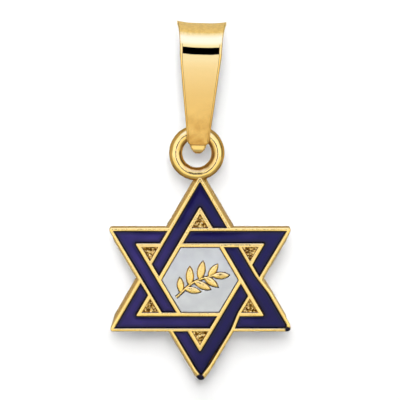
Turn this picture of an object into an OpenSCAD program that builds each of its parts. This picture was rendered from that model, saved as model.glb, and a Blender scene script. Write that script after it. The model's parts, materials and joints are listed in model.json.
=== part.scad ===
// Star pendant: two interlaced triangles in enamelled gold, on a ring, in a folded bail.
// Millimetres, +Z up, the front faces -Y. The origin is the inside of the bail's fold, where
// the chain runs. The pendant is drawn as it hangs.

/* [Star] */
// Width of the star over its side tips
star_w = 12.0; // [11:0.25:15]
// Radius that rounds the six tips
tip_r = 0.18; // [0.12:0.02:0.3]
// Width of the gold rim along the outside of each bar
rim_w = 0.23; // [0.18:0.01:0.3]
// Width of the blue enamel band in each bar
band_w = 0.81; // [0.65:0.01:0.95]
// Width of the gold fence along the inside of each bar
fence_w = 0.28; // [0.2:0.01:0.34]
// Thickness of the plate under the enamel
plate_t = 0.45; // [0.35:0.05:0.7]
// Height of the rims and fences above the plate
fence_h = 0.35; // [0.25:0.05:0.5]
// Depth of the six small bare recesses below the fence tops
recess_depth = 0.2; // [0.12:0.02:0.24]

/* [Enamel] */
// How far the enamel lies below the fence tops
enamel_drop = 0.04; // [0.02:0.01:0.08]
// Clearance between the enamel and the gold walls round it
enamel_gap = 0.02; // [0.01:0.005:0.03]

/* [Sprig] */
// Bare margin between the ends of the sprig and the fences
sprig_margin = 0.46; // [0.4:0.01:0.6]
// Width of the sprig's stem
stem_w = 0.14; // [0.1:0.01:0.18]
// Width of the largest leaf
leaf_w = 0.45; // [0.36:0.01:0.5]

/* [Ring] */
// Diameter of the ring's wire
wire_d = 0.88; // [0.7:0.02:1]
// Diameter of the hole in the ring
ring_hole = 1.9; // [1.8:0.05:2.3]
// How far the sharp tip of the star would reach into the ring's wire
ring_sink = 0.42; // [0.35:0.01:0.5]
// Radius of the solder fillets between the ring and the tip
solder_r = 0.2; // [0.1:0.05:0.35]
// Thickness of the solder
solder_t = 0.64; // [0.4:0.02:0.7]

/* [Bail] */
// Height of the bail, from the top of its fold to its lip
bail_h = 8.45; // [7:0.25:11]
// Thickness of the sheet
sheet_t = 0.3; // [0.2:0.02:0.4]
// Outer radius of the fold
fold_r = 1.7; // [1.5:0.05:2.2]
// Width of the sheet over the top of the fold
crown_w = 3.08; // [2.7:0.02:3.6]
// Width of the sheet where the fold runs into the straps
fold_w = 2.44; // [2:0.02:2.7]
// Width of the straps where their corners start to round
foot_w = 1.36; // [1.2:0.02:1.5]
// How much the edges rise above the middle at the top of the fold
crown_flare = 0.12; // [0.04:0.01:0.2]
// Bevel along the edges of the sheet
edge_bevel = 0.08; // [0.04:0.01:0.12]
// Clearance between the ring's wire and its seat in the bail
seat_gap = 0.27; // [0.22:0.01:0.35]
// Thickness of the pressed lip under the seat
lip_t = 0.71; // [0.6:0.02:0.9]
// Slope of the lip's faces from level, in degrees
lip_slope = 37; // [33:1:42]
// Height of the rounded corners above the crease
corner_h = 0.19; // [0.12:0.01:0.3]

/* [Hidden] */

$fn = 48;
cut = 0.1;             // how far a cutter starts in front of the face that it cuts
tip_steps = 6;         // flats in the arc that rounds a tip
solder_steps = 5;      // flats in a solder fillet

// Distances from the centre of the star to the edges of every bar
bar_out = ((star_w / 2 - tip_r) / cos(30) + 2 * tip_r) / 2;
band_out = bar_out - rim_w;
band_in = band_out - band_w;
hex_in = band_in - fence_w;
star_t = plate_t + fence_h;

// Ring
wire_r = wire_d / 2;
ring_mean_r = ring_hole / 2 + wire_r;
ring_out_r = ring_hole / 2 + wire_d;

// Bail, seen from the side in the YZ plane
eye_r = wire_r + seat_gap;
fold_in_r = fold_r - sheet_t;
fold_z = -fold_in_r;
lip_z = sheet_t - bail_h;
axis_z = lip_z + lip_t + eye_r;
strap_tilt = asin((fold_in_r - eye_r) / (fold_z - axis_z));

// Places of the star's pieces along Z
ring_z = axis_z - ring_mean_r;
star_z = ring_z - (2 * bar_out + ring_out_r - ring_sink);

// Where the lines at distances da and db from the centre meet, their normals at angles a and b
function meet(a, da, b, db) =
    [da * sin(b) - db * sin(a), db * cos(a) - da * cos(b)] / sin(b - a);

// Outline of the star with rounded tips
function star_outline() = [
    for (k = [0:5]) let (tip = 90 + 60 * k) each concat(
        [for (i = [0:tip_steps]) let (a = tip - 60 + 120 * i / tip_steps)
            2 * (bar_out - tip_r) * [cos(tip), sin(tip)] + tip_r * [cos(a), sin(a)]],
        [bar_out / cos(30) * [cos(tip + 30), sin(tip + 30)]])
];

// Blue cell of the top tip: its long arm passes over the top bar and ends at the next fence
function cell_outline(gap) = [
    meet(150, band_out - gap, 30, band_out - gap),
    meet(150, band_out - gap, 210, hex_in - gap),
    meet(150, band_in + gap, 210, hex_in - gap),
    meet(150, band_in + gap, 30, band_in + gap),
    meet(30, band_in + gap, 90, bar_out + gap),
    meet(30, band_out - gap, 90, bar_out + gap),
];

// Bare recess between the two inner fences of the top tip and the top bar
function recess_outline() = [
    meet(150, hex_in, 30, hex_in),
    meet(150, hex_in, 90, bar_out),
    meet(30, hex_in, 90, bar_out),
];

function hex_outline(gap) = [
    for (k = [0:5]) meet(30 + 60 * k, hex_in - gap, 90 + 60 * k, hex_in - gap)
];

// The sprig is as wide as the hexagon less its margins. Its stem's rise, bow, length and place
// are shares of that width.
sprig_w = 2 * (hex_in - sprig_margin);
stem_rise = 0.42;
stem_bow = 0.09;
stem_share = 0.7;
stem_place = [-0.1, -0.08];
stem_steps = 10;       // flats along the stem
leaf_back = 0.5;       // how far the foot of a leaf reaches back into the stem, in stem widths

// Leaves: place along the stem, turn from the stem's direction in degrees, length as a share
// of the sprig's width, and width as a share of leaf_w
LEAF_AT = 0; LEAF_TURN = 1; LEAF_LONG = 2; LEAF_WIDE = 3;
leaves = [
    [0.13,  50, 0.31, 0.88],
    [0.24, -52, 0.32, 0.88],
    [0.37,  54, 0.37, 1.00],
    [0.50, -57, 0.35, 0.96],
    [0.63,  54, 0.37, 1.00],
    [0.77, -54, 0.33, 0.92],
    [0.89,  44, 0.30, 0.90],
    [1.00,  -4, 0.32, 0.95],
];

function stem_point(t) = sprig_w * [
    stem_place[0] + stem_share * (t - 0.5),
    stem_place[1] + stem_rise * (t - 0.5) + stem_bow * (4 * t * (1 - t) - 0.5),
];
function stem_turn(t) = atan2(stem_rise + stem_bow * (4 - 8 * t), stem_share);
function stem_side(t, off) = stem_point(t) + off * [-sin(stem_turn(t)), cos(stem_turn(t))];

// Leaf with pointed ends, between two arcs: its foot is at the origin and it points along +X
module leaf(long, wide, grow) {
    arc_r = (long * long / 4 + wide * wide / 4) / wide;
    intersection() {
        translate([long / 2, wide / 2 - arc_r]) circle(arc_r + grow);
        translate([long / 2, arc_r - wide / 2]) circle(arc_r + grow);
    }
}

module sprig(grow) {
    off = stem_w / 2 + grow;
    polygon(concat(
        [for (i = [0:stem_steps]) stem_side(i / stem_steps, -off)],
        [for (i = [stem_steps:-1:0]) stem_side(i / stem_steps, off)]));
    for (row = leaves) {
        foot = stem_point(row[LEAF_AT]);
        turn = stem_turn(row[LEAF_AT]) + row[LEAF_TURN];
        translate(foot - leaf_back * stem_w * [cos(turn), sin(turn)]) rotate(turn)
            leaf(row[LEAF_LONG] * sprig_w, row[LEAF_WIDE] * leaf_w, grow);
    }
}

// Stands a flat outline up in the plane of the star, from one depth below the fence tops to
// another. The middle of the star's thickness lies at y = 0.
module upright(from, to) {
    translate([0, to - star_t / 2, star_z]) rotate([90, 0, 0]) linear_extrude(to - from)
        children();
}

// Outline of the solder, in the star's own plane: a concave fillet from the ring to each side
// of the tip
module solder_shape() {
    ring_c = 2 * bar_out + ring_out_r - ring_sink;
    along = ring_c * cos(30)
        - sqrt(pow(ring_out_r + solder_r, 2) - pow(bar_out + solder_r - ring_c / 2, 2));
    fillet_c = (bar_out + solder_r) * [cos(30), sin(30)] + along * [-sin(30), cos(30)];
    up = atan2(ring_c - fillet_c[1], -fillet_c[0]);
    arc = [for (i = [0:solder_steps]) let (a = 210 + (up - 210) * i / solder_steps)
        fillet_c + solder_r * [cos(a), sin(a)]];
    mirrored = [for (i = [solder_steps:-1:0]) [-arc[i][0], arc[i][1]]];
    polygon(concat(arc, [[0, ring_c - ring_hole / 2 - wire_r]], mirrored));
}

module ring() {
    translate([0, 0, ring_z]) rotate([90, 0, 0]) rotate_extrude()
        translate([ring_mean_r, 0]) circle(wire_r, $fn = 32);
}

// Gold casting: plate, rims, fences, recesses and sprig, with the ring soldered to the tip
module star_frame() {
    color("gold") union() {
        difference() {
            union() {
                upright(0, star_t) polygon(star_outline());
                upright((star_t - solder_t) / 2, (star_t + solder_t) / 2) solder_shape();
                ring();
            }
            for (k = [0:5]) {
                upright(-cut, fence_h) rotate(60 * k) polygon(cell_outline(0));
                upright(-cut, recess_depth) rotate(60 * k) polygon(recess_outline());
            }
            upright(-cut, fence_h) polygon(hex_outline(0));
        }
        upright(0, star_t - plate_t / 2) sprig(0);
    }
}

module blue_enamel(k) {
    color("midnightblue")
        upright(enamel_drop, fence_h) rotate(60 * k) polygon(cell_outline(enamel_gap));
}

module white_enamel() {
    color("gainsboro") difference() {
        upright(enamel_drop, fence_h) polygon(hex_outline(enamel_gap));
        upright(-cut, fence_h + cut) sprig(enamel_gap);
    }
}

// The bail is a closed band. Seen from the side it is two tilted straps, tangent to the fold
// above and to the ring's seat below, that end in a pressed lip.
fold_c = [0, fold_z];
axis_c = [0, axis_z];
strap_n = [-cos(strap_tilt), -sin(strap_tilt)];    // outward, on the front strap
strap_up = [-sin(strap_tilt), cos(strap_tilt)];
strap_foot = axis_c + eye_r * strap_n;
strap_top = fold_c + fold_in_r * strap_n;

// Crease: where the outside of the front strap meets the front face of the lip
lip_n = [-sin(lip_slope), -cos(lip_slope)];
foot_out = strap_foot + sheet_t * strap_n;
crease = foot_out + ((lip_t + eye_r) * cos(lip_slope) - (foot_out - axis_c) * lip_n)
    / (strap_up * lip_n) * strap_up;
corner_z = crease[1] + corner_h;
strap_top_z = strap_top[1] + sheet_t * strap_n[1];

// Rounded end of the strap: share of the way from where the corners start down to the tip of
// the lip, and share of foot_w
foot_curve = [
    [0, 1], [0.13, 0.9], [0.25, 0.78], [0.54, 0.67], [0.8, 0.44], [0.93, 0.26], [1, 0.12],
];
fold_spread = 1.7;     // the width grows towards the crown with this power of the turn
fold_steps = 14;       // flats from a strap to the crown
strap_steps = 5;       // stretches along a strap
corner_steps = 3;      // stretches from where the corners start to the crease
lip_steps = 5;         // stretches down the face of the lip

function half_w_at(z) = z >= corner_z
    ? (foot_w + (fold_w - foot_w) * (z - corner_z) / (strap_top_z - corner_z)) / 2
    : foot_w / 2 * lookup((corner_z - z) / (corner_z - lip_z), foot_curve);

// A place along the band holds its outer point, its inner point and its half width
function seat_place(out) =
    [out, axis_c + eye_r * (out - axis_c) / norm(out - axis_c), half_w_at(out[1])];
function strap_place(t) =
    let (inside = strap_foot + t * (strap_top - strap_foot), out = inside + sheet_t * strap_n)
    [out, inside, half_w_at(out[1])];
function fold_place(t) =
    let (a = 180 + strap_tilt - t * (90 + strap_tilt), d = [cos(a), sin(a)])
    [fold_c + fold_r * d, fold_c + fold_in_r * d,
        (fold_w + (crown_w - fold_w) * pow(t, fold_spread)) / 2];

front_places = concat(
    [for (i = [0:lip_steps]) seat_place([0, lip_z] + i / lip_steps * (crease - [0, lip_z]))],
    [for (i = [1:corner_steps])
        seat_place(crease + i / corner_steps * corner_h / strap_up[1] * strap_up)],
    [for (i = [0:strap_steps]) strap_place(i / strap_steps)],
    [for (i = [1:fold_steps]) fold_place(i / fold_steps)]);
back_places = [for (i = [len(front_places) - 2:-1:1]) let (p = front_places[i])
    [[-p[0][0], p[0][1]], [-p[1][0], p[1][1]], p[2]]];
band_places = concat(front_places, back_places);

// Points across the band, as shares of its flat: outside, then back along the inside
outer_shares = [-1, -0.7, -0.35, 0, 0.35, 0.7, 1];
inner_shares = [1, 0.5, 0, -0.5, -1];

// The edges rise towards the sides of the crown, as on a saddle
function rise_at(x) = crown_flare * pow(abs(x) / (crown_w / 2), 3);

function band_point(x, at, up, extra) =
    let (q = at + (rise_at(x) + extra) * up) [x, q[0], q[1]];
function band_ring(p) =
    let (up = (p[0] - p[1]) / norm(p[0] - p[1]), half_w = p[2],
        bevel = min(edge_bevel, half_w / 2, sheet_t * 0.4), flat = half_w - bevel)
    concat(
        [band_point(-half_w, p[0], up, -bevel)],
        [for (s = outer_shares) band_point(s * flat, p[0], up, 0)],
        [band_point(half_w, p[0], up, -bevel), band_point(half_w, p[1], up, bevel)],
        [for (s = inner_shares) band_point(s * flat, p[1], up, 0)],
        [band_point(-half_w, p[1], up, bevel)]);

module bail() {
    count = len(band_places);
    around = len(outer_shares) + len(inner_shares) + 4;
    points = [for (p = band_places) each band_ring(p)];
    faces = [for (i = [0:count - 1], j = [0:around - 1])
        let (a = i * around, b = (i + 1) % count * around, k = (j + 1) % around)
            each [[a + j, a + k, b + k], [a + j, b + k, b + j]]];
    color("gold") polyhedron(points, faces);
}

bail();
star_frame();
white_enamel();
for (k = [0:5])
    blue_enamel(k);
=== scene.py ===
# %% [markdown]
# # A small enamelled star pendant
# The pendant is a gold casting of two interlaced triangles, with dark blue enamel in its bars
# and pale grey enamel in its middle, and it hangs from a folded bail of gold sheet. The packed
# CAD model is loaded first, and every piece made here takes the place of one of its nodes.

# %% Load the frame
import json
from functools import partial
from math import asin, atan2, cos, degrees, pi, radians, sin, tan

import bmesh
import bpy
from mathutils import Matrix, Vector

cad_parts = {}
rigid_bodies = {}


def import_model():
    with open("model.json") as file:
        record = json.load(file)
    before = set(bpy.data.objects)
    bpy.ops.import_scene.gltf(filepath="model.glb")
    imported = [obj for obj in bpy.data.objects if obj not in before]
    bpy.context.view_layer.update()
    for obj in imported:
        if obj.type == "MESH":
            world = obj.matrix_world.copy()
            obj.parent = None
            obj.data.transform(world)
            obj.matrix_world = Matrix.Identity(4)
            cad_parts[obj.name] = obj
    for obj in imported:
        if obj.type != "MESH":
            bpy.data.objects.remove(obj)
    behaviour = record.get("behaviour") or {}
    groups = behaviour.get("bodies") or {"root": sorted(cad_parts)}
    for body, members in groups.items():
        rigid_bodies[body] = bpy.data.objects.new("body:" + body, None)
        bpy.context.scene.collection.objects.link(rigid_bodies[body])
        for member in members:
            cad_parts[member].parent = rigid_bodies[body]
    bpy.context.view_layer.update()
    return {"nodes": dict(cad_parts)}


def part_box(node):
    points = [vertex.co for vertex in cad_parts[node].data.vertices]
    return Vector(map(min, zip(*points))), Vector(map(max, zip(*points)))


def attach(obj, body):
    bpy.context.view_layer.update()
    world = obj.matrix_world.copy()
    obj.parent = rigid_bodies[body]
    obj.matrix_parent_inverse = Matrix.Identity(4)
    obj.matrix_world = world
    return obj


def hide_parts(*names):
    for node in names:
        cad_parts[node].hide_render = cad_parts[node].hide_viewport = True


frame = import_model()
print("CAD nodes:", ", ".join(sorted(frame["nodes"])))

# %% [markdown]
# ## Sizes
# Blender's tools have fixed tolerances that would swallow a rim a quarter of a millimetre wide.
# So every piece is drawn with one unit for one millimetre, and is shrunk into metres when it is
# done. The sizes are those of the CAD source. +Z is up and the front of the star faces -Y.

# %% Sizes of the star, in millimetres
MM = 0.001
tip_r = 0.18
bar_out = ((12.0 / 2 - tip_r) / cos(radians(30)) + 2 * tip_r) / 2
rim_w, band_w, fence_w = 0.23, 0.81, 0.28
band_out = bar_out - rim_w
band_in = band_out - band_w
hex_in = band_in - fence_w
plate_t, fence_h, recess_depth = 0.45, 0.35, 0.2
draft, corner_r = 0.2, 0.1
ring_x, bail_x = -0.21, -0.10        # the ring was soldered on a little to the left
star_t = plate_t + fence_h
front_y = -star_t / 2
enamel_y = front_y + 0.04

# %% Sizes of the ring and the bail, in millimetres
wire_r, ring_hole_r, ring_sink = 0.44, 0.95, 0.42
ring_r = ring_hole_r + wire_r
sheet_t, fold_r, lip_z, lip_t = 0.3, 1.7, -8.15, 0.71
eye_r = wire_r + 0.27
fold_in_r = fold_r - sheet_t
fold_z = -fold_in_r
axis_z = lip_z + lip_t + eye_r
ring_z = axis_z - ring_r
star_z = ring_z - (2 * bar_out + ring_r + wire_r - ring_sink)
centre = Vector((0, 0, star_z))
upright = (radians(90), 0, 0)   # turns a round from lying flat to facing the front
print(f"bars reach {bar_out:.3f} mm, star centre at z {star_z:.2f} mm, swing axis at {axis_z:.2f} mm")


def direction(turn):
    """The way from the star's centre that is this many degrees up from the right."""
    return Vector((cos(radians(turn)), 0, sin(radians(turn))))


# %% [markdown]
# ## Working as by hand
# Blender's tools act on whatever is selected, so these helpers do what the mouse would do.

# %% Helpers for selecting and shaping
def only(piece):
    """Leave edit mode and make this the one selected, active object."""
    if bpy.context.mode != "OBJECT":
        bpy.ops.object.mode_set(mode="OBJECT")
    bpy.ops.object.select_all(action="DESELECT")
    piece.select_set(True)
    bpy.context.view_layer.objects.active = piece


def bake(piece):
    """Put the place, turn and size of a piece into its mesh."""
    only(piece)
    bpy.ops.object.transform_apply(location=True, rotation=True, scale=True)


def settle(name):
    """Name the piece that was just added, and bake it."""
    piece = bpy.context.object
    piece.name = piece.data.name = name
    bake(piece)
    return piece


def add(primitive, name, **settings):
    """Add a primitive while nothing is selected, and settle it."""
    bpy.ops.object.select_all(action="DESELECT")
    primitive(**settings)
    return settle(name)


def edit(piece, whole=False):
    """Open a piece in edit mode, with all of it selected or nothing."""
    only(piece)
    bpy.ops.object.mode_set(mode="EDIT")
    bpy.ops.mesh.select_all(action="SELECT" if whole else "DESELECT")


def middle(part):
    """Where a vertex, or the middle of an edge or face, is."""
    corners = [part.co] if isinstance(part, bmesh.types.BMVert) else [v.co for v in part.verts]
    return sum(corners, Vector()) / len(corners)


def pick(piece, kind, test):
    """Select every VERT, EDGE or FACE that passes the test, and nothing else."""
    bpy.ops.mesh.select_mode(type=kind)
    bpy.ops.mesh.select_all(action="DESELECT")
    shape = bmesh.from_edit_mesh(piece.data)
    parts = {"VERT": shape.verts, "EDGE": shape.edges, "FACE": shape.faces}[kind]
    chosen = [part for part in parts if test(part)]
    for part in chosen:
        part.select_set(True)
    shape.select_flush_mode()
    bmesh.update_edit_mesh(piece.data)
    return len(chosen)


def move(kind, step):
    """Extrude or shift what is selected by a step."""
    if kind == "extrude":
        bpy.ops.mesh.extrude_region_move(TRANSFORM_OT_translate={"value": tuple(step)})
    else:
        bpy.ops.transform.translate(value=tuple(step))


def resize(factors, about=(0, 0, 0)):
    """Scale what is selected, in X, Y and Z, about a point."""
    bpy.ops.transform.resize(value=factors, center_override=about)


def cut(point, across):
    """Cut all of the piece along a plane through a point."""
    bpy.ops.mesh.select_all(action="SELECT")
    bpy.ops.mesh.bisect(plane_co=point, plane_no=across, threshold=1e-4)


def bevel(width, steps, kind="EDGES", **settings):
    """Round what is selected."""
    bpy.ops.mesh.bevel(offset=width, segments=steps, affect=kind, **settings)


def face_out():
    """Select all of the piece and turn its faces outwards."""
    bpy.ops.mesh.select_all(action="SELECT")
    bpy.ops.mesh.normals_make_consistent(inside=False)


def modify(piece, kind, **settings):
    """Add a modifier, set it and apply it."""
    only(piece)
    modifier = piece.modifiers.new(kind.title(), kind)
    for name, value in settings.items():
        setattr(modifier, name, value)
    bpy.ops.object.modifier_apply(modifier=modifier.name)


def combine(piece, other, operation, overlapping=False):
    """Join to, cut from or keep what is shared with another solid, which is used up."""
    modify(piece, "BOOLEAN", object=other, operation=operation, solver="EXACT",
           use_self=overlapping, material_mode="TRANSFER")
    bpy.data.objects.remove(other)


def new_object(name, data):
    piece = bpy.data.objects.new(name, data)
    bpy.context.scene.collection.objects.link(piece)
    return piece


def copy_of(piece, name):
    """A copy with its own mesh."""
    twin = new_object(name, piece.data.copy())
    twin.data.name = name
    return twin


def triangles(piece):
    return sum(len(p.vertices) - 2 for p in piece.data.polygons)


def dress(piece, *materials):
    """Give a piece these materials; its faces wear the first."""
    piece.data.materials.clear()
    for material in materials:
        piece.data.materials.append(material)


def clean(piece, smooth_degrees):
    """Merge doubles, take out points that only split an edge, and shade smooth up to an angle."""
    edit(piece, whole=True)
    bpy.ops.mesh.remove_doubles(threshold=1e-4)
    print("needless points:", pick(piece, "VERT", lambda v: len(v.link_edges) == 2))
    bpy.ops.mesh.dissolve_verts()
    face_out()
    only(piece)
    bpy.ops.object.shade_smooth_by_angle(angle=radians(smooth_degrees))
    piece.data.update()


# %% [markdown]
# ## Colours and nodes
# Colours are written as they look on a screen, in sRGB, and one function makes them linear.
# Another adds a node to a material. Each of its inputs, by number or by name, gets a value, a
# colour or what another node puts out.

# %% Helpers for materials
def linear(colour):
    """An sRGB colour, written #rrggbb, as linear red, green and blue with full alpha."""
    shares = [int(colour[i:i + 2], 16) / 255 for i in (1, 3, 5)]
    return [s / 12.92 if s <= 0.04045 else ((s + 0.055) / 1.055) ** 2.4 for s in shares] + [1]


def add_node(tree, kind, inputs=(), **settings):
    """Add a node with its settings and links, and return its outputs."""
    made = tree.nodes.new("ShaderNode" + kind)
    for name, value in settings.items():
        setattr(made, name, value)
    for socket, value in inputs.items() if isinstance(inputs, dict) else enumerate(inputs):
        if isinstance(value, bpy.types.NodeSocket):
            tree.links.new(value, made.inputs[socket])
        else:
            made.inputs[socket].default_value = linear(value) if isinstance(value, str) else value
    return made.outputs


def new_material(name):
    """A material with an empty tree, what adds nodes to it, and its Object coordinates."""
    material = bpy.data.materials.new(name)
    material.use_nodes = True
    material.node_tree.nodes.clear()
    node = partial(add_node, material.node_tree)
    print("new material:", name)
    return material, node, node("TexCoord")["Object"]


def per(millimetres):
    """The texture scale at which a pattern repeats about once in this many millimetres."""
    return 1 / (millimetres * MM)


# %% [markdown]
# ## Polished gold, for the bail
# Yellow gold of about 14 karat. A metal only tints what it reflects, so its colour is a pale
# yellow and the rest comes from the room. The fold was buffed to a mirror. The straps were
# brushed along their length; the scratches are drawn 0.05 mm apart, wider than real ones, so
# that they show. Down the strap the colour is painted darker, and darker still at the foot in
# clouds of 0.7 mm, as painted shade. The top has worn patches of 0.2 mm.

# %% Polished gold
polished_gold, node, place = new_material("polished_yellow_gold")
height = node("SeparateXYZ", [place])["Z"]
strap, above_lip, crown = (
    node("MapRange", [height, low * MM, high * MM, at_low, at_high])[0] for low, high, at_low, at_high
    in ((-2.6, -1.6, 1, 0), (-7.55, -7.45, 0, 1), (-0.42, -0.3, 0, 0.14)))
# Painted shade: the strap's colour turns darker downwards, and darker still at the foot in clouds.
foot, lower_share = (
    node("Math", [node("MapRange", [height, low * MM, high * MM, 1, 0])[0], above_lip],
         operation="MULTIPLY")[0] for low, high in ((-7.4, -4.5), (-4.2, -1.9)))
warm = node("Mix", {0: lower_share, 6: "#f5ce7a", 7: "#e3bb68"}, data_type="RGBA")[2]
brushed = node("Mapping", {0: place, "Scale": (1, 1, 0.12)})[0]
scratches, clouds, patches = (
    node("TexNoise", {0: where, "Scale": per(grain), "Detail": detail})[0]
    for where, grain, detail in ((brushed, 0.05, 3), (place, 0.7, 4), (place, 0.22, 3)))
rough = node("MapRange", [scratches, 0.3, 0.7, 0.08, 0.17])[0]
rough = node("Math", [rough, strap, 0.03], operation="MULTIPLY_ADD")[0]
clouds = node("MapRange", [clouds, 0.35, 0.65, 0.1, 0.85])[0]
patches = node("MapRange", [patches, 0.42, 0.6, 0, 1])[0]
clouds, patches, relief = (
    node("Math", pair, operation="MULTIPLY")[0]
    for pair in ([foot, clouds], [crown, patches], [scratches, strap]))
shade = node("Math", [clouds, patches], operation="MAXIMUM")[0]
shader = node("BsdfPrincipled", {
    "Base Color": node("Mix", {0: shade, 6: warm, 7: "#b88437"}, data_type="RGBA")[2],
    "Normal": node("Bump", {"Height": relief, "Distance": 0.0012 * MM})[0],
    "Metallic": 1, "Roughness": rough})
node("OutputMaterial", shader)

# %% [markdown]
# A fine line runs along each rolled edge of the bail. It is a material of its own, for the faces
# of a narrow groove, painted brown as painted shade and made dull.

# %% Groove shade
groove_shade, node, _ = new_material("tarnished_gold")
# Painted shade: the groove's faces are brown.
shader = node("BsdfPrincipled", {"Base Color": "#8f6a2c", "Metallic": 1, "Roughness": 0.35})
node("OutputMaterial", shader)

# %% [markdown]
# ## Cast gold, for the star and its ring
# The star was cast and only lightly polished. Its grain of about a tenth of a millimetre and its
# hollows of 0.4 mm are drawn as relief, and the grain also changes the roughness, so that glints
# break up along the rims. The ring was polished smooth: there the relief fades out, and softer
# patches of a millimetre come from handling. Behind its front face, on side walls and in pockets,
# the gold is painted browner, as painted shade. Inside the ring it is darker in patches, most of
# all to the right, and the ring's outer edge is painted darker, as painted shade. At two tips blue
# enamel ran over the rim, as a dark glassy spot about 0.3 mm in radius.

# %% Cast gold
cast_gold, node, place = new_material("cast_yellow_gold")
axes = node("SeparateXYZ", [place])
grain, dents, handled = (
    node("TexNoise", {0: place, "Scale": per(size), "Detail": detail})[0]
    for size, detail in ((0.12, 4), (0.4, 2), (1.1, 1)))
# Painted shade: the gold turns browner behind its front face.
wall_shade = node("MapRange", [axes["Y"], (front_y + 0.03) * MM, (front_y + 0.16) * MM, 0, 1])[0]
cast = node("MapRange", [axes["Z"], (ring_z - 1.9) * MM, (ring_z - 1.6) * MM, 1, 0.08])[0]
handled = node("MapRange", [handled, 0.46, 0.56, 0.05, 0.17])[0]
rough = node("MapRange", [grain, 0.3, 0.7, 0.08, 0.2])[0]
rough = node("Math", [rough, cast, handled], operation="MULTIPLY_ADD")[0]
from_hole = node("VectorMath", [place, (ring_x * MM, 0, ring_z * MM)],
                 operation="DISTANCE")["Value"]
# Darker inside the ring in patches, most of all to the right.
inside = node("MapRange", [from_hole, 1.2 * MM, 1.42 * MM, 1, 0])[0]
uneven = node("MapRange", [dents, 0.3, 0.7, 0.55, 1])[0]
to_right = node("MapRange", [axes["X"], (ring_x - 1) * MM, (ring_x + 1) * MM, 0.5, 1])[0]
# Painted shade: the ring's outer edge turns darker.
outside = node("MapRange", [from_hole, 1.5 * MM, 1.74 * MM, 0, 0.28])[0]
on_ring = node("MapRange", [cast, 0.08, 1, 1, 0])[0]
hollows, pits, inside, outside = (
    node("Math", pair, operation="MULTIPLY")[0]
    for pair in ([dents, cast], [grain, cast], [inside, uneven], [outside, on_ring]))
inside = node("Math", [inside, to_right], operation="MULTIPLY")[0]
ring_dark_and_edge_shade = node("Math", [inside, outside], operation="MAXIMUM")[0]
gold = node("Mix", {0: wall_shade, 6: "#f9d377", 7: "#c09236"}, data_type="RGBA")[2]
gold = node("Mix", {0: ring_dark_and_edge_shade, 6: gold, 7: "#97651d"}, data_type="RGBA")[2]
relief = node("Bump", {"Height": hollows, "Distance": 0.02 * MM})[0]
relief = node("Bump", {"Height": pits, "Distance": 0.011 * MM, "Normal": relief})[0]
metal = node("BsdfPrincipled",
             {"Base Color": gold, "Metallic": 1, "Roughness": rough, "Normal": relief})
glaze = node("BsdfPrincipled",
             {"Base Color": "#0b081a", "Roughness": 0.2, "Specular IOR Level": 0.12})
smear = 0
spot_out = 6.8                       # how far the middle of a spot is from the star's centre
for turn, spot_r in ((-30, 0.24), (-90, 0.34)):
    spot = (centre + Vector((0, front_y, 0)) + spot_out * direction(turn)) * MM
    away = node("VectorMath", [place, spot], operation="DISTANCE")["Value"]
    near = node("MapRange", [away, (spot_r - 0.08) * MM, spot_r * MM, 1, 0])[0]
    smear = node("Math", [smear, near], operation="MAXIMUM")[0]
shader = node("MixShader", [smear, metal[0], glaze[0]])
node("OutputMaterial", shader)

# %% [markdown]
# The floors of the six recesses are as rough as sandpaper. Their colour is painted darker than
# the rims, as painted shade, and a noise of 0.13 mm paints dark hollows and bright specks, as
# painted shade and painted glints, and gives the relief. Real gravel is modelled there later.

# %% Stippled gold
stippled_gold, node, place = new_material("stippled_dark_gold")
grain = node("TexNoise", {0: place, "Scale": per(0.13), "Detail": 2})[0]
# Painted shade in the dark hollows and painted glints in the bright specks.
glint_and_shade = node("MapRange", [grain, 0.46, 0.56, 0, 1])[0]
shader = node("BsdfPrincipled", {
    "Base Color": node("Mix", {0: glint_and_shade, 6: "#7a5410", 7: "#f9d578"}, data_type="RGBA")[2],
    "Normal": node("Bump", {"Height": grain, "Distance": 0.04 * MM})[0],
    "Metallic": 1, "Roughness": 0.28})
node("OutputMaterial", shader)

# %% [markdown]
# ## Enamel
# Enamel is coloured glass, set in its cell and polished: smooth, glossy and deep in colour. The
# blue lies thicker in places, so its colour drifts over about two millimetres, and its face waves
# a little. It is painted lighter to the left, as painted light, and darker at the top, as painted
# shade. Where it rounds down at its edge it is painted darker, as shade, and its last few
# hundredths of a millimetre are painted nearly black.

# %% Blue enamel
blue, node, place = new_material("dark_blue_enamel")
axes = node("SeparateXYZ", [place])
pools, waves = (node("TexNoise", {0: place, "Scale": per(size), "Detail": detail})[0]
                for size, detail in ((2.2, 1), (1.2, 0)))
light = node("MapRange", [pools, 0.35, 0.65, -0.25, 0.25])[0]
# Painted light to the left and painted shade at the top.
for drift in ([axes["X"], -4.5 * MM, 1 * MM, 0.75, 0],
              [axes["Z"], (star_z + 3) * MM, (star_z + 5.5) * MM, 0, -0.45]):
    light = node("Math", [light, node("MapRange", drift)[0]])[0]
depth = node("Mix", {0: light, 6: "#100a3d", 7: "#2a1f58"}, data_type="RGBA")[2]
# Painted shade where the enamel rounds down at its edge, nearly black at the last.
for begin, end, most, colour in ((0.001, 0.012, 0.7, "#0a0824"), (0.014, 0.03, 1, "#050308")):
    edge_shade = node("MapRange", [axes["Y"], (enamel_y + begin) * MM, (enamel_y + end) * MM, 0, most])[0]
    depth = node("Mix", {0: edge_shade, 6: depth, 7: colour}, data_type="RGBA")[2]
shader = node("BsdfPrincipled", {
    "Base Color": depth, "Normal": node("Bump", {"Height": waves, "Distance": 0.03 * MM})[0],
    "Roughness": 0.16, "Specular IOR Level": 0.2})
node("OutputMaterial", shader)

# %% [markdown]
# The middle is the same enamel in a pale cool grey, with faint clouds of a millimetre, painted
# darker as shade where it rounds down at its edge. A near-black seam of painted shade lies in the
# gaps round it and round the sprig, and in the corner below each rim.

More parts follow.
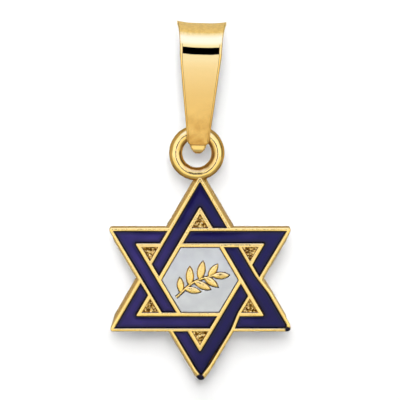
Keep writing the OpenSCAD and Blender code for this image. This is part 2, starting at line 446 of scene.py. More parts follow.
# %% Grey enamel
grey, node, place = new_material("pale_grey_enamel")
clouds = node("TexNoise", {0: place, "Scale": per(1.2), "Detail": 2})[0]
clouds = node("MapRange", [clouds, 0.35, 0.65, 0, 1])[0]
shade = node("Mix", {0: clouds, 6: "#9fa1a2", 7: "#a8aaaa"}, data_type="RGBA")[2]
back = node("SeparateXYZ", [place])["Y"]
# Painted shade where the grey rounds down at its edge.
edge = node("MapRange", [back, (enamel_y + 0.004) * MM, (enamel_y + 0.03) * MM, 0, 1])[0]
shade = node("Mix", {0: edge, 6: shade, 7: "#5e5a58"}, data_type="RGBA")[2]
shader = node("BsdfPrincipled", {"Base Color": shade, "Roughness": 0.15})
node("OutputMaterial", shader)

# %% [markdown]
# The seam is painted shade, dull and nearly black with a touch of the blue's red. It has no
# pattern, because no line of it is wider than seven hundredths of a millimetre.

# %% Dark seam
seam, node, _ = new_material("dark_enamel_seam")
node("OutputMaterial", node("BsdfPrincipled", {"Base Color": "#241a1c", "Roughness": 0.5}))


# %% [markdown]
# ## The star's outline
# The real star was cast flat. Its outline is a circle of twelve points with every second one
# pulled in, and the six tips are rounded by a bevel of their corners.

# %% Draw the outline of the star
def point_turn(part):
    """Direction of a vertex from the star's centre, in degrees."""
    return round(degrees(atan2(part.co.z - star_z, part.co.x))) % 60


star = add(bpy.ops.mesh.primitive_circle_add, "star_frame.casting", vertices=12,
           radius=2 * bar_out, fill_type="NGON", location=(0, front_y, star_z), rotation=upright)
edit(star)
notch_share = 1 / cos(radians(30)) / 2
pick(star, "VERT", lambda v: point_turn(v) == 0)
resize((notch_share,) * 3, (0, front_y, star_z))
pick(star, "VERT", lambda v: point_turn(v) == 30)
bevel(tip_r / tan(radians(30)), 8, "VERTICES")
only(star)
print("half width over the side tips:", round(max(v.co.x for v in star.data.vertices), 3))

# %% [markdown]
# Each bar of a triangle has four parallel edges: the outside of its rim, both sides of its blue
# band and the inside of its fence. Cutting the flat star along all of them, in six directions,
# leaves a mosaic of small faces. Each one belongs to the gold, a blue cell, a bare recess or the
# hexagon in the middle, and is sorted by how far it reaches in each direction.

# %% Cut the star along the edges of its bars
edit(star)
for turn in range(30, 390, 60):
    for edge in (bar_out, band_out, band_in, hex_in):
        cut(centre + edge * direction(turn), direction(turn))
only(star)
print("faces in the mosaic:", len(star.data.polygons))


# %% Sort the mosaic
def reach(point, turn):
    return (point - centre).dot(direction(turn))


def in_cell(point, turn):
    """In the blue cell of one tip: a long arm over the next bar and a short one to a fence."""
    long_arm, short_arm = reach(point, 150 + turn), reach(point, 30 + turn)
    if max(long_arm, short_arm) > band_out:
        return False
    return ((long_arm > band_in and reach(point, 210 + turn) < hex_in)
            or (short_arm > band_in and reach(point, 90 + turn) > bar_out))


def in_recess(point, turn):
    """In the small bare triangle between a tip's two fences and the bar that crosses it."""
    return (max(reach(point, 150 + turn), reach(point, 30 + turn)) < hex_in
            and reach(point, 90 + turn) > bar_out)


def region(part):
    point = middle(part)
    for turn in range(0, 360, 60):
        if in_cell(point, turn):
            return "cell"
        if in_recess(point, turn):
            return "recess"
    return "middle" if all(reach(point, turn) < hex_in for turn in range(30, 390, 60)) else "gold"


def take_copy(test, name):
    """Copy the faces that pass the test out of the mosaic, as one flat face."""
    edit(star)
    pick(star, "FACE", test)
    bpy.ops.mesh.duplicate()
    bpy.ops.mesh.separate(type="SELECTED")
    only(star)
    piece = next(o for o in bpy.data.objects if o.name.startswith(star.name + "."))
    piece.name = piece.data.name = name
    edit(piece, whole=True)
    bpy.ops.mesh.dissolve_limited(angle_limit=0.02)
    only(piece)
    return piece


blue_cell = take_copy(lambda f: in_cell(middle(f), 0), "cell")
grey_plate = take_copy(lambda f: region(f) == "middle", "plate")
print("corners of a blue cell:", len(blue_cell.data.vertices),
      "and of the hexagon:", len(grey_plate.data.vertices))

# %% [markdown]
# ## The casting
# The cells, the hexagon and the six recesses are sunk into the front, and the corners where two
# fences meet are rounded. Then the outline is drawn back to give the plate its thickness, and its
# back is made a little wider than its front, so that the mould would let it go: this draft shows
# as a thin darker wall beside the slanting rims, darkened also by painted shade. The rims were
# rounded in polishing: a wide bevel runs round the outline and a narrow one round every pocket.
# The faces at the foot of that bevel wear the dark seam as painted shade, and draw a fine line
# round the blue.

# %% Sink the pockets and give the star its thickness
edit(star)
for names, depth in ((("cell", "middle"), fence_h), (("recess",), recess_depth)):
    pick(star, "FACE", lambda f: abs(middle(f).y - front_y) < 1e-3 and region(f) in names)
    move("extrude", (0, depth, 0))


def fence_corner(part, spread=0.02):
    """At the sharp corner where the two fences of a tip meet, seen from the blue cell."""
    return all(any(abs(reach(v.co, 150 + turn) - band_in) < spread
                   and abs(reach(v.co, 30 + turn) - band_in) < spread
                   for turn in range(0, 360, 60)) for v in part.verts)


print("fence corners:", pick(star, "EDGE", lambda e: fence_corner(e)
                             and abs(e.verts[0].co.y - e.verts[1].co.y) > 0.1))
bevel(corner_r * tan(radians(60)), 4)
bpy.ops.mesh.select_mode(type="EDGE")
bpy.ops.mesh.select_all(action="DESELECT")
bpy.ops.mesh.select_non_manifold()
move("extrude", (0, star_t, 0))
for side in (-1, 1):
    pick(star, "VERT", lambda v: v.co.y > front_y + star_t - 1e-3 and v.co.x * side > 0.02
         and (abs(v.co.x) < 1 or (v.co - centre).length < 2 * bar_out - 0.5))
    move("shift", (side * draft / cos(radians(30)), 0, 0))
pick(star, "EDGE", lambda e: e.is_boundary)
bpy.ops.mesh.edge_face_add()
face_out()


def flat_floor(edge):
    """A cut line across the floor of a pocket, which nothing needs."""
    return (len(edge.link_faces) == 2 and all(f.normal.y < -0.99 for f in edge.link_faces)
            and middle(edge).y > front_y + 0.01)


print("cut lines taken off the floors:", pick(star, "EDGE", flat_floor))
bpy.ops.mesh.dissolve_edges(use_verts=True)


# %% Round the rims, the pockets and the back
def rim_edge(edge, level, outline):
    """A corner between a flat at this level and a wall that does, or doesn't, reach the back."""
    walls = [f for f in edge.link_faces if abs(f.normal.y) < 0.3]
    if len(walls) != 1 or any(abs(v.co.y - level) > 1e-3 for v in edge.verts):
        return False
    depth = max(v.co.y for v in walls[0].verts) - min(v.co.y for v in walls[0].verts)
    return (depth > star_t / 2 + 0.1) == outline


for level, outline, width, steps in ((front_y, True, 0.11, 5), (front_y, False, 0.09, 4),
                                     (-front_y, True, 0.06, 2)):
    edit(star)
    count = pick(star, "EDGE", lambda e: rim_edge(e, level, outline))
    bevel(width, steps, clamp_overlap=True)
    print("edges rounded by", width, "mm:", count)


def rim_reach(place):
    """How far out a place lies from the bars of the nearer triangle."""
    return min(max(reach(place, start + turn) for turn in (0, 120, 240)) for start in (30, 90))


dress(star, cast_gold, stippled_gold, seam)
# Painted shade: the faces at the foot of the pocket bevels wear the near-black seam.
edit(star)
star.active_material_index = 2
print("faces in the dark line round the pockets:", pick(
    star, "FACE", lambda f: front_y + 0.035 < middle(f).y < front_y + 0.1
    and abs(f.normal.y) < 0.9 and rim_reach(middle(f)) < band_out + 0.05))
bpy.ops.object.material_slot_assign()
only(star)
print("triangles in the casting:", triangles(star))

# %% [markdown]
# The floors of the recesses were left rough from the mould, like fine gravel. Each one is cut
# small and pushed in and out by a noise, with grains of about a tenth of a millimetre.

# %% Roughen the floors of the recesses
floor_y = front_y + recess_depth


def recess_floor(face):
    return abs(middle(face).y - floor_y) < 1e-3 and abs(face.normal.y) > 0.99


edit(star)
pick(star, "FACE", recess_floor)
star.active_material_index = 1
bpy.ops.object.material_slot_assign()
bpy.ops.mesh.subdivide(number_cuts=19)
inner = pick(star, "VERT", lambda v: abs(v.co.y - floor_y) < 1e-3
             and all(abs(f.normal.y) > 0.99 for f in v.link_faces))
bpy.ops.object.vertex_group_assign_new()
only(star)
star.vertex_groups[0].name = "floors"
edit(star)
print("walls round the recesses:", pick(star, "FACE", lambda f: len(f.verts) > 20
                                        and abs(f.normal.y) < 0.3 and middle(f).y < floor_y))
bpy.ops.mesh.poke()
only(star)
gravel = bpy.data.textures.new("gravel", "CLOUDS")
gravel.noise_scale, gravel.noise_depth = 0.11, 2
modify(star, "DISPLACE", texture=gravel, texture_coords="LOCAL", direction="Y",
       vertex_group="floors", strength=0.22, mid_level=0.5)
star.vertex_groups.clear()
print("points of gravel:", inner)

# %% [markdown]
# ## The ring and its solder
# The ring is a piece of round wire, closed and soldered to the top tip. Solder flows into a
# hollow neck on both sides. The ring and a blob of solder are merged by a voxel remesh, which
# melts them into one skin, and smoothing then draws the neck in as surface tension does.

# %% Make the ring and melt the solder on
neck = (0, 0, ring_z - ring_r - wire_r + 0.02)
ring = add(bpy.ops.mesh.primitive_torus_add, "ring", major_radius=ring_r, minor_radius=wire_r,
           major_segments=96, minor_segments=32, location=(ring_x, 0, ring_z), rotation=upright)
dress(ring, cast_gold)
solder = add(bpy.ops.mesh.primitive_uv_sphere_add, "solder", segments=32, ring_count=16,
             radius=0.42, location=neck)
edit(solder, whole=True)
resize((1.05, 0.75, 0.75), neck)
combine(ring, solder, "UNION")
modify(ring, "REMESH", mode="VOXEL", voxel_size=0.04)
dents = bpy.data.textures.new("dents", "CLOUDS")
dents.noise_scale, dents.noise_depth = 0.45, 1
modify(ring, "DISPLACE", texture=dents, texture_coords="LOCAL", strength=0.022, mid_level=0.5)
modify(ring, "SMOOTH", factor=0.5, iterations=8)
print("faces in the ring:", len(ring.data.polygons))

# %% [markdown]
# ## The sprig
# A small leafy sprig stands in the middle, level with the fences. Every leaf is what two round
# cutters leave between them: a solid with two arcs and two points. Its front is stepped in twice
# to dome it. One leaf is made and copied.

# %% Sizes of the sprig
sprig_w = 2 * (hex_in - 0.46)
stem_w, leaf_w, leaf_long = 0.14, 0.45, 1.2
stem_rise, stem_bow, stem_share, stem_place = 0.42, 0.09, 0.7, (-0.1, -0.08)
# For each leaf: place along the stem, turn from it in degrees, length as a share of the
# sprig's width, and width as a share of the widest leaf's
leaves = [
    (0.13, 50, 0.31, 0.88), (0.24, -52, 0.32, 0.88), (0.37, 54, 0.37, 1.00),
    (0.50, -57, 0.35, 0.96), (0.63, 54, 0.37, 1.00), (0.77, -54, 0.33, 0.92),
    (0.89, 44, 0.30, 0.90), (1.00, -4, 0.32, 0.95),
]
print(f"a sprig {sprig_w:.2f} mm wide with {len(leaves)} leaves")


def stem_point(t):
    """Place along the stem, from 0 at its foot to 1 at its end."""
    return sprig_w * Vector((stem_place[0] + stem_share * (t - 0.5), 0,
                             stem_place[1] + stem_rise * (t - 0.5)
                             + stem_bow * (4 * t * (1 - t) - 0.5)))


def stem_turn(t):
    return degrees(atan2(stem_rise + stem_bow * (4 - 8 * t), stem_share))


# %% Cut one leaf from two rounds
def leaf_between_rounds(name, grow, front, back):
    """A leaf along +X with its foot at the origin, from one depth to another."""
    arc_r = (leaf_long ** 2 / 4 + leaf_w ** 2 / 4) / leaf_w
    upper, lower = (
        add(bpy.ops.mesh.primitive_cylinder_add, name, vertices=32, radius=arc_r + grow,
            depth=back - front, rotation=upright,
            location=(leaf_long / 2, (front + back) / 2, side * (leaf_w / 2 - arc_r)))
        for side in (1, -1))
    combine(upper, lower, "INTERSECT")
    return upper


leaf = leaf_between_rounds("leaf", 0, front_y + 0.03, front_y + fence_h + 0.1)
edit(leaf)
pick(leaf, "FACE", lambda f: f.normal.y < -0.99)
for width, rise in ((0.035, 0.03), (0.04, 0.015)):
    bpy.ops.mesh.inset(thickness=width, depth=rise, use_even_offset=True)
only(leaf)
dress(leaf, cast_gold)
print("faces in a leaf:", len(leaf.data.polygons))


# %% Set the leaves on their stem
def set_leaves(pattern, name):
    """Copy the pattern once for each leaf, sized, turned and placed along the stem."""
    placed = []
    for at, turn, long_share, wide_share in leaves:
        twin = copy_of(pattern, name)
        way = radians(stem_turn(at) + turn)
        foot = stem_point(at) - stem_w / 2 * Vector((cos(way), 0, sin(way)))
        edit(twin, whole=True)
        resize((long_share * sprig_w / leaf_long, 1, wide_share))
        only(twin)
        twin.matrix_world = (Matrix.Translation(foot + Vector((0, 0, star_z)))
                             @ Matrix.Rotation(-way, 4, "Y"))
        bake(twin)
        placed.append(twin)
    return placed


def stem_of(name, radius, depth_y):
    """The bowed stem as a round rod, drawn with a curve and made a mesh."""
    bpy.ops.object.select_all(action="DESELECT")
    bpy.ops.curve.primitive_bezier_curve_add()
    rod = bpy.context.object
    spline = rod.data.splines[0]
    spline.bezier_points.add(1)
    for point, t in zip(spline.bezier_points, (0, 0.5, 1)):
        point.co = stem_point(t) + Vector((0, depth_y, star_z))
        point.handle_left_type = point.handle_right_type = "AUTO"
    rod.data.bevel_depth, rod.data.bevel_resolution = radius, 3
    rod.data.resolution_u, rod.data.use_fill_caps = 10, True
    only(rod)
    bpy.ops.object.convert(target="MESH")
    return settle(name)


sprig = set_leaves(leaf, "sprig_leaf")
stem = stem_of("sprig_stem", stem_w / 2, front_y + stem_w / 2)
dress(stem, cast_gold)
only(stem)
for twin in sprig:
    twin.select_set(True)
bpy.ops.object.join()
print("faces in the sprig:", len(stem.data.polygons))
bpy.data.objects.remove(leaf)

# %% [markdown]
# ## Fusing the casting
# On the real piece the plate, the sprig, the solder and the ring are one lump of metal, so
# here they are joined into one closed skin.

# %% Fuse
combine(star, stem, "UNION", overlapping=True)
combine(star, ring, "UNION")
clean(star, 35)
print("star_frame:", triangles(star), "triangles")

# %% [markdown]
# ## Blue enamel
# Enamel is filled into the cells and polished nearly level with the fences. It sinks a little
# and rounds down at its edge, where a fine dark line shows between it and the gold. The flat
# copy of one cell is given its depth, and its front is stepped in three times to round it.

# %% Give an enamel its body
enamel_gap = 0.02


def fill_pocket(piece, steps):
    """Pull a flat outline in from the gold, give it depth, and step its front in and out."""
    edit(piece, whole=True)
    bpy.ops.mesh.select_mode(type="FACE")
    bpy.ops.mesh.inset(thickness=enamel_gap, depth=0)
    bpy.ops.mesh.select_all(action="INVERT")
    bpy.ops.mesh.delete(type="FACE")
    bpy.ops.mesh.select_all(action="SELECT")
    move("shift", (0, fence_h, 0))
    move("extrude", (0, enamel_y - (front_y + fence_h) + sum(rise for _, rise in steps), 0))
    for width, rise in steps:
        bpy.ops.mesh.inset(thickness=width, depth=rise, use_even_offset=True)
    face_out()
    only(piece)
    bpy.ops.object.shade_smooth_by_angle(angle=radians(40))
    print(piece.name, "front at", round(min(v.co.y for v in piece.data.vertices), 3))


edit(blue_cell)
pick(blue_cell, "VERT", lambda v: abs(reach(v.co, 30) - band_in) < 0.02
     and abs(reach(v.co, 150) - band_in) < 0.02)
bevel(corner_r * tan(radians(60)), 4, "VERTICES")
fill_pocket(blue_cell, ((0.045, 0.04), (0.06, 0.012), (0.2, 0.012)))
dress(blue_cell, blue)
blue_pieces = []
for tip in range(6):
    cell = copy_of(blue_cell, f"blue_enamel_{tip + 1}.cell")
    cell.matrix_world = (Matrix.Translation(centre) @ Matrix.Rotation(-radians(60 * tip), 4, "Y")
                         @ Matrix.Translation(-centre))
    bake(cell)
    blue_pieces.append(cell)
bpy.data.objects.remove(blue_cell)

# %% [markdown]
# ## Grey enamel
# The hexagon is filled the same way, and is pierced for the sprig. The cutters are the leaf and
# the stem a little larger, so that a narrow dark seam of painted shade is left all round the gold.

# %% Fill the hexagon and pierce it for the sprig
seam_w = 0.065
dress(grey_plate, grey, seam)
fill_pocket(grey_plate, ((0.03, 0.03), (0.06, 0.008)))
cutter = leaf_between_rounds("leaf_cutter", seam_w, front_y - 0.1, front_y + fence_h + 0.1)
dress(cutter, seam)
cutters = set_leaves(cutter, "leaf_cutter")
rod = stem_of("stem_cutter", stem_w / 2 + seam_w, front_y + stem_w / 2)
dress(rod, seam)
bpy.data.objects.remove(cutter)
for tool in (*cutters, rod):
    combine(grey_plate, tool, "DIFFERENCE")
clean(grey_plate, 40)
print("grey enamel:", len(grey_plate.data.polygons), "faces")

# %% [markdown]
# ## An uneven casting
# No mould is quite even. On the real star the right flanks of the lower right tip and of the
# lowest tip stand a fifth of a millimetre further out, most of all at the front. Each vertex gets
# a weight for how far it moves, and a displacement along X pushes gold and enamel together. Level
# cuts come first, where the push changes, so that both have vertices there and bend alike.

# %% Push two flanks out
push_x = 0.21
# How far under the star's centre each push begins and is whole, and where the first one fades
side_levels, low_levels, side_fades = (-0.3, 0.9), (2.2, 3.4), bar_out - 0.5


def share_of(value, low, high):
    """How far a value has come from one bound to the other, held between 0 and 1."""
    return min(1, max(0, (value - low) / (high - low)))


def push(place):
    """The share of the push for one place: none at the fences, all of it at the rims."""
    back, down = share_of(place.y, front_y, -front_y), star_z - place.z
    side_tip = (share_of(reach(place, 30), band_in, band_out) * share_of(down, *side_levels)
                * share_of(down, bar_out, side_fades) * (1 - back))
    low_tip = (share_of(reach(place, 330), band_in, band_out) * share_of(down, *low_levels)
               * share_of(place.x, 3.2, 2.2) * share_of(place.x, -0.3, 0.5) * (1 - 0.35 * back))
    return max(side_tip, low_tip)


for piece in (star, *blue_pieces):
    edit(piece)
    for down in (*side_levels, low_levels[0], side_fades, low_levels[1], 6.2):
        cut((0, 0, star_z - down), (0, 0, 1))
    only(piece)
    group = piece.vertex_groups.new(name="push")
    for vertex in piece.data.vertices:
        group.add([vertex.index], push(vertex.co), "REPLACE")
    modify(piece, "DISPLACE", direction="X", vertex_group="push", strength=push_x, mid_level=0)
    piece.vertex_groups.clear()
print("share of the push at the lower right notch:",
      round(push(Vector((2.04, front_y, star_z - bar_out))), 2))

# %% [markdown]
# ## The bail
# The bail is a strip of sheet gold, wide in the middle and narrow at its ends, folded over and
# soldered at the foot. Seen from the side it is a closed loop. Its outer and inner skins are each
# drawn as a row of points across the sheet, extruded along half of that loop, round the fold,
# down the strap and under the ring, and scaled to the width there. Below the crease the outer
# skin turns under in a short tongue, as the pressed lip does. The two skins are mirrored to the
# back, and their edges are bridged.

# %% The loop of the bail, seen from the side
slope = radians(37)
crown_w, fold_w, foot_w, corner_h = 3.2, 2.68, 1.46, 0.19
seat_in_r = eye_r + 0.06             # the sheet was worn a little thinner inside the seat
tilt = asin((fold_in_r - eye_r) / (fold_z - axis_z))
out_of_strap = Vector((0, -cos(tilt), -sin(tilt)))
up_strap = Vector((0, -sin(tilt), cos(tilt)))
fold_c, axis_c = (Vector((0, 0, z)) for z in (fold_z, axis_z))
strap_foot = axis_c + seat_in_r * out_of_strap
strap_top = fold_c + fold_in_r * out_of_strap
out_of_lip = Vector((0, -sin(slope), -cos(slope)))
foot_out = axis_c + (eye_r + sheet_t) * out_of_strap
crease = foot_out + up_strap * (((lip_t + eye_r) * cos(slope)
                                 - (foot_out - axis_c).dot(out_of_lip)) / up_strap.dot(out_of_lip))
corner_z = crease.z + corner_h
strap_top_z = (strap_top + sheet_t * out_of_strap).z
foot_curve = [(0, 1), (0.13, 0.9), (0.25, 0.78), (0.54, 0.67), (0.8, 0.44), (0.93, 0.26), (1, 0.12)]


def half_width(z):
    """Half the width of the sheet at a height, from the fold down to the lip."""
    if z >= corner_z:
        return (foot_w + (fold_w - foot_w) * (z - corner_z) / (strap_top_z - corner_z)) / 2
    share = (corner_z - z) / (corner_z - lip_z)
    for (a, wide_a), (b, wide_b) in zip(foot_curve, foot_curve[1:]):
        if share <= b + 1e-9:
            return foot_w / 2 * (wide_a + (wide_b - wide_a) * (share - a) / (b - a))


FOLD_STEPS, STRAP_STEPS, CORNER_STEPS, CREASE_STEPS = 28, 10, 2, 3
# The tongue below the crease, seen from the side: depth, and share of the way down to the lip
tongue = [(-0.86, 0.03), (-0.815, 0.08), (-0.80, 0.14), (-0.78, 0.3), (-0.755, 0.46), (-0.72, 0.62),
          (-0.65, 0.77), (-0.5, 0.9), (-0.26, 0.975), (0, 1)]
loop = []            # outer point, inner point, half width and turn of the sheet, at each row
for i in range(FOLD_STEPS):
    share = i / FOLD_STEPS
    turn = share * (pi / 2 + tilt)
    out = Vector((0, -sin(turn), cos(turn)))
    loop.append((fold_c + fold_r * out, fold_c + fold_in_r * out,
                 (fold_w + (crown_w - fold_w) * (1 - share) ** 1.7) / 2, turn))
for i in range(STRAP_STEPS + 1):
    inside = strap_top.lerp(strap_foot, i / STRAP_STEPS)
    outside = (strap_top + sheet_t * out_of_strap).lerp(foot_out, i / STRAP_STEPS)
    loop.append((outside, inside, half_width(outside.z), pi / 2 + tilt))
corner = crease + corner_h / up_strap.z * up_strap
seat_rows = ([foot_out.lerp(corner, i / CORNER_STEPS) for i in range(1, CORNER_STEPS + 1)]
             + [corner.lerp(crease, i / CREASE_STEPS) for i in range(1, CREASE_STEPS + 1)]
             + [Vector((0, y, crease.z + drop * (lip_z - crease.z))) for y, drop in tongue])
for outside in seat_rows:
    inside = axis_c + seat_in_r * (outside - axis_c).normalized()
    loop.append((outside, inside, half_width(outside.z), pi / 2 + tilt))
print("rows in half the loop:", len(loop), " crease at z", round(crease.z, 2),
      " strap leans", round(degrees(tilt), 1), "degrees")

# %% [markdown]
# The sheet isn't flat across. Its sides flare up at the crown, less with every row down the fold,
# and their edges are rolled down, in a strip of a tenth to a fifth of a millimetre that catches
# its own light. So the grid's last column is dropped, and the one before it is moved to where
# the strip begins. The whole bail hangs slightly askew, as in the photo.

# %% Draw one skin of the bail
COLUMNS = 12
bail_lean = -1.7
crown_flare, crown_rise, edge_drop, fold_strip, strap_strip = 0.16, 0.07, 0.05, 0.17, 0.13


def width_of(row, side):
    """Half the width of a skin at a row. The ring wore the inner one narrower round its seat."""
    lower_share = share_of(-row[0].z, 5, 6.2)
    return row[2] * (1 - 0.2 * lower_share * side)


def skin(name, side):
    """The outer (0) or the inner (1) skin of the front half, from the crown to the lip."""
    piece = add(bpy.ops.mesh.primitive_grid_add, name, x_subdivisions=COLUMNS, y_subdivisions=1,
                size=1)
    edit(piece)
    pick(piece, "VERT", lambda v: v.co.y > 0)
    bpy.ops.mesh.delete(type="VERT")
    here, wide = loop[0][side], 0.5
    bpy.ops.mesh.select_all(action="SELECT")
    move("shift", here + Vector((0, 0.5, 0)))
    for row in loop:
        if row is not loop[0]:
            move("extrude", row[side] - here)
        here = row[side]
        resize((width_of(row, side) / wide, 1, 1), here)
        wide = width_of(row, side)
    only(piece)
    return piece


outer, inner_skin = skin("bail.band", 0), skin("inner", 1)
print("rows drawn:", len(outer.data.vertices) // (COLUMNS + 1))

# %% Raise the edges of the sheet
for piece, side in ((outer, 0), (inner_skin, 1)):
    edit(piece)
    for row in loop:
        up = Vector((0, -sin(row[3]), cos(row[3])))
        fading = max(0, cos(min(0.93 * row[3], pi / 2)))
        wide = width_of(row, side)
        for column in range(COLUMNS // 2 + 1):
            x = wide * column / (COLUMNS / 2)
            rise = (crown_flare * fading * (x / wide) ** 4
                    + crown_rise * (1 + cos(min(6 * row[3], pi))) / 2)
            last = COLUMNS // 2 - column
            if side == 0 and last == 0:
                rise -= edge_drop
            if abs(rise) < 0.002 and last != 1:
                continue
            pick(piece, "VERT", lambda v: abs(abs(v.co.x) - x) < 1e-4
                 and (v.co - Vector((v.co.x, *row[side][1:]))).length < 1e-4)
            if last == 1:
                down = share_of(fold_z - row[0].z, 0, 0.8)
                strip_w = min(fold_strip + (strap_strip - fold_strip) * down, wide / 4)
                resize(((wide - strip_w) / x, 1, 1))
            move("shift", rise * up)
    only(piece)
    print("highest point of the", piece.name, round(max(v.co.z for v in piece.data.vertices), 3))

# %% Join the skins, mirror them to the back and bridge the edges
only(outer)
inner_skin.select_set(True)
bpy.ops.object.join()
bail = outer
modify(bail, "MIRROR", use_axis=(False, True, False), use_mirror_merge=True, merge_threshold=1e-3)
for side in (-1, 1):
    edit(bail)
    print("edges to bridge:", pick(bail, "EDGE",
                                   lambda e: e.is_boundary and middle(e).x * side > 0))
    bpy.ops.mesh.bridge_edge_loops()
edit(bail)
face_out()


# %% Round the edges and cut the fine groove
def long_edge(edge):
    """An edge along the side of the sheet, where a skin meets the side wall."""
    return (len(edge.link_faces) == 2 and edge.calc_face_angle() > radians(40)
            and all(abs(v.co.x) > 0.05 for v in edge.verts)
            and any(abs(f.normal.x) > 0.7 for f in edge.link_faces))


def outward(edge):
    """On the outer skin: the face beside the side wall looks away from the middle of the loop."""
    face = min(edge.link_faces, key=lambda f: abs(f.normal.x))
    place = middle(edge)
    hub = max(min(place.z, fold_z), axis_z)
    return face.normal.dot(place - Vector((place.x, 0, hub))) > 0


def rolled_edge(edge):
    """The line where the face of a strap ends and its rolled edge begins, down to the foot."""
    a, b = edge.verts
    return (len(edge.link_faces) == 2 and min(a.co.z, b.co.z) > corner_z - 0.01
            and abs(a.co.x - b.co.x) < 0.6 * abs(a.co.z - b.co.z)
            and radians(10) < edge.calc_face_angle() < radians(35)
            and all(abs(f.normal.x) < 0.6 for f in edge.link_faces) and outward(edge))


edit(bail)
for outside, width, steps in ((True, 0.05, 3), (False, 0.05, 2)):
    print("side edges rounded by", width, "mm:",
          pick(bail, "EDGE", lambda e: long_edge(e) and outward(e) == outside))
    bevel(width, steps, clamp_overlap=True)
edit(bail)
print("creases along the rolled edges:", pick(bail, "EDGE", rolled_edge))
bevel(0.03, 2, profile=0.0, clamp_overlap=True)
bpy.ops.mesh.mark_sharp()
bpy.ops.mesh.select_mode(type="FACE")
dress(bail, polished_gold, groove_shade)
bail.active_material_index = 1
bpy.ops.object.material_slot_assign()
clean(bail, 30)
edit(bail, whole=True)
bpy.ops.transform.rotate(value=radians(bail_lean), orient_axis="Y",
                         center_override=(0, 0, axis_z))
move("shift", (bail_x, 0, 0))
only(bail)
print("bail:", triangles(bail), "triangles")

# %% [markdown]
# ## Into metres, and onto the frame
# Each finished piece is shrunk to its real size about the origin, rides on the body of the node
# that it stands for, and hides that node.

# %% Shrink the pieces and hang them on their bodies
rows = [(bail, "bail", "bail", "polished_gold"), (star, "star_frame", "star", "cast_gold"),
        (grey_plate, "white_enamel", "star", "white_enamel")]
rows += [(piece, piece.name.split(".")[0], "star", "blue_enamel") for piece in blue_pieces]
for piece, cad_node, body, slot in rows:
    edit(piece, whole=True)
    resize((MM,) * 3)
    only(piece)
    piece.name = piece.data.name = cad_node + ".look"
    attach(piece, body)
    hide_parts(cad_node)
    low, high = (Vector(f(v.co[i] for v in piece.data.vertices) for i in range(3))
                 for f in (min, max))
    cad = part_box(cad_node)
    print(piece.name, "differs from its node by", [round(1000 * x, 3) for x in (*(low - cad[0]),
                                                                              *(high - cad[1]))])

# %% [markdown]
# ## The studio
# The camera looks down a little from the front, through a long lens.

# %% Camera
camera = new_object("camera", bpy.data.cameras.new("camera"))
bpy.context.scene.camera = camera
target = Vector((0, 0, star_z + 5.35)) * MM
lift, distance = radians(9.5), 88.3
away = Vector((0, -cos(lift), sin(lift)))
camera.location = target + distance * MM * away
camera.rotation_euler = away.to_track_quat("Z", "Y").to_euler()
camera.data.lens, camera.data.sensor_width = 120, 36
camera.data.clip_start, camera.data.clip_end = 1 * MM, 1000 * MM
print("camera", distance, "mm from the pendant, with a lens of", camera.data.lens, "mm")


# %% [markdown]
# The backdrop is a sweep of white paper: a wall behind the pendant that curves into a floor. It
# stands far enough back for the star to swing, and only its front is solid, so that the pendant
# can be seen from behind as well. The lamps light the wall more than the floor, so the floor
# glows a little for the eye alone, and stays pale without throwing light back up.

# %% Paper sweep
paper, node, place = new_material("white_paper")
sheet = node("BsdfDiffuse", {"Color": "#f2f2f2"})
clear = node("BsdfTransparent")
facing = node("NewGeometry")["Backfacing"]
height = node("SeparateXYZ", [place])["Z"]
low = node("MapRange", [height, -52 * MM, -38 * MM, 0.5, 0])[0]
seen = node("LightPath")["Is Camera Ray"]
lift = node("Math", [low, seen], operation="MULTIPLY")[0]
glow = node("Emission", {"Color": "#ffffff", "Strength": lift})
front = node("AddShader", [sheet[0], glow[0]])
node("OutputMaterial", node("MixShader", [facing, front[0], clear[0]]))

WALL_Y, FLOOR_Z, FLOOR_LONG = 17, -54, 90
sweep = add(bpy.ops.mesh.primitive_plane_add, "paper_sweep", size=1)
edit(sweep, whole=True)
resize((500, FLOOR_LONG, 1))
move("shift", (0, WALL_Y - FLOOR_LONG / 2, FLOOR_Z))
pick(sweep, "EDGE", lambda e: middle(e).y > WALL_Y - 1)
move("extrude", (0, 0, 140))
pick(sweep, "EDGE", lambda e: len(e.link_faces) == 2)
bevel(14, 16)
bpy.ops.mesh.select_all(action="SELECT")
resize((MM,) * 3)
only(sweep)
bpy.ops.object.shade_smooth()
dress(sweep, paper)
sweep.visible_glossy = False
print("faces in the paper:", len(sweep.data.polygons))

# %% [markdown]
# Polished gold shows the room more than itself. It needs a bright softbox above the front, a
# bright table that fades towards the pendant, bright cards to both sides of the camera, darker
# ones behind, and the dark opening that the camera looks through, which draws the black stripe
# across the fold and the thin dark arcs along the ring. A dark gap in the cards on the right
# darkens the rims' flanks there. Each is a flat card that only reflections see. Gold takes the
# blue out of what it reflects, so a card that should look nearly white in it is much bluer.

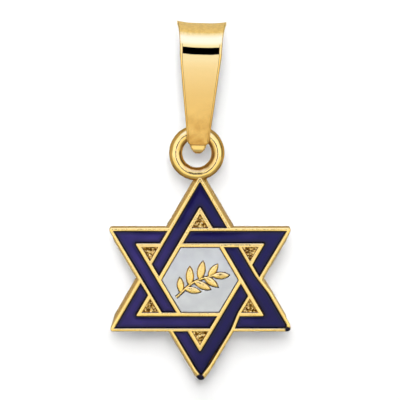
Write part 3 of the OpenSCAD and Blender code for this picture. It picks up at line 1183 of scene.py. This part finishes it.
# %% Cards for reflections
def card(name, corners, stops):
    """A flat card that glows in a gradient from its first edge to its last. Each stop is a place,
    from 0 to 1, and a linear colour or grey, which may be above 1."""
    stops = [(at, glow if isinstance(glow, tuple) else (glow,) * 3) for at, glow in stops]
    mesh = bpy.data.meshes.new(name)
    mesh.from_pydata([Vector(c) * MM for c in corners], [], [range(4)])
    mesh.uv_layers.new(name="card").data.foreach_set("uv", (0, 0, 1, 0, 1, 1, 0, 1))
    piece = new_object(name, mesh)
    material, node, _ = new_material(name)
    share = node("SeparateXYZ", [node("TexCoord")["UV"]])["Y"]
    gradient = node("ValToRGB", [share])
    strongest = max(0.001, *(max(colour) for _, colour in stops))
    points = gradient[0].node.color_ramp.elements
    while len(points) < len(stops):
        points.new(0.5)
    for point, (at, colour) in zip(points, stops):
        point.position, point.color = at, [c / strongest for c in colour] + [1]
    glow = node("Emission", {"Color": gradient[0], "Strength": strongest})
    node("OutputMaterial", glow)
    dress(piece, material)
    for flag in ("visible_camera", "visible_diffuse", "visible_shadow", "visible_transmission"):
        setattr(piece, flag, False)


def crosswise(reach_x, first, last):
    """Corners of a card as wide to both sides, between two edges at their y and z."""
    return [(-reach_x, *first), (reach_x, *first), (reach_x, *last), (-reach_x, *last)]


card("camera_opening", crosswise(11, (-89, -24), (-89, 22)), [(0, 0), (1, 0)])
card("table", crosswise(150, (16, -34), (-244, -34)),
     [(0, 0.5), (0.1, 0.45), (0.16, 0.6), (0.2, 1.2), (0.35, 1.2), (0.38, (1.17, 1.13, 1.25)),
      (0.40, (1.15, 1.13, 1.45)), (0.42, (1.12, 1.2, 1.7)), (0.44, (1.08, 1.27, 2.1)),
      (1, (1.08, 1.27, 2.1))])
card("softbox", crosswise(80, (-125, 25), (-10, 122)),
     [(0, (1.0, 1.15, 1.5)), (0.18, (1.15, 1.4, 2.4)), (0.38, (1.3, 1.6, 4.0)),
      (0.62, (1.3, 1.6, 4.0)), (0.85, (1.1, 1.3, 2.2)), (1, (0.95, 1.05, 1.3))])
card("ceiling", crosswise(80, (-10, 122), (200, 60)), [(0, 0.95), (0.2, 0.85), (1, 0.7)])
card("back_card", crosswise(200, (75, -60), (75, 60)),
     [(0, (0.75, 0.68, 0.44)), (1, (0.8, 0.75, 0.5))])
for side in (-1, 1):
    near, far = 13 * side, 80 * side
    card("front_card", [(near, -112, -34), (near, -112, 28), (far, -112, 28), (far, -112, -34)],
         [(0, (1.35, 1.42, 2.2)), (1, (1.35, 1.42, 2.2))])
    gap = 0.03 if side > 0 else 0.6
    card("side_card", [(far, 70, -60), (far, 70, 110), (far, -112, 110), (far, -112, -60)],
         [(0, 0.6), (0.11, 1.1), (0.27, 1.1), (0.36, 0.6), (0.42, 0.6), (0.44, gap), (0.54, gap),
          (0.56, 0.6), (0.6, 0.6), (0.71, (1.3, 1.4, 1.9)), (1, (1.6, 1.75, 2.6))])


# %% [markdown]
# The photo's shadow is short and soft, below and to both sides, from large lights close to the
# camera. Three round lamps of different sizes, just above it, give the dark core, the middle and
# the wide faint rim. Even white light from all round fills the rest, and the room looks paler to
# the eye than it lights, so that it is pale in views from behind too.

# %% Shadow lamps
def lamp(name, size, power, across, up):
    """A round lamp beside the camera, so many millimetres across and up. Reflections miss it."""
    light = bpy.data.lights.new(name, "AREA")
    light.shape, light.size, light.energy = "DISK", size * MM, power
    piece = new_object(name, light)
    piece.location = camera.location + Vector((across, 0, up)) * MM
    piece.rotation_euler = camera.rotation_euler
    piece.visible_glossy = False
    print(name, "is", size, "mm wide")


lamp("near_lamp", 4.5, 0.032, 0, 2.7)
lamp("middle_lamp", 10, 0.043, -0.4, 6)
lamp("wide_lamp", 24, 0.030, -1.5, 10)

# %% Room light
world = bpy.data.worlds.new("white_room")
bpy.context.scene.world = world
world.use_nodes = True
world.node_tree.nodes.clear()
node = partial(add_node, world.node_tree)
seen = node("LightPath")["Is Camera Ray"]
strength = node("MapRange", [seen, 0, 1, 0.2, 0.85])[0]
room = node("Background", {"Color": "#ffffff", "Strength": strength})
node("OutputWorld", room)
bpy.context.scene.view_settings.view_transform = "Standard"
print("light of the room:", world.name)
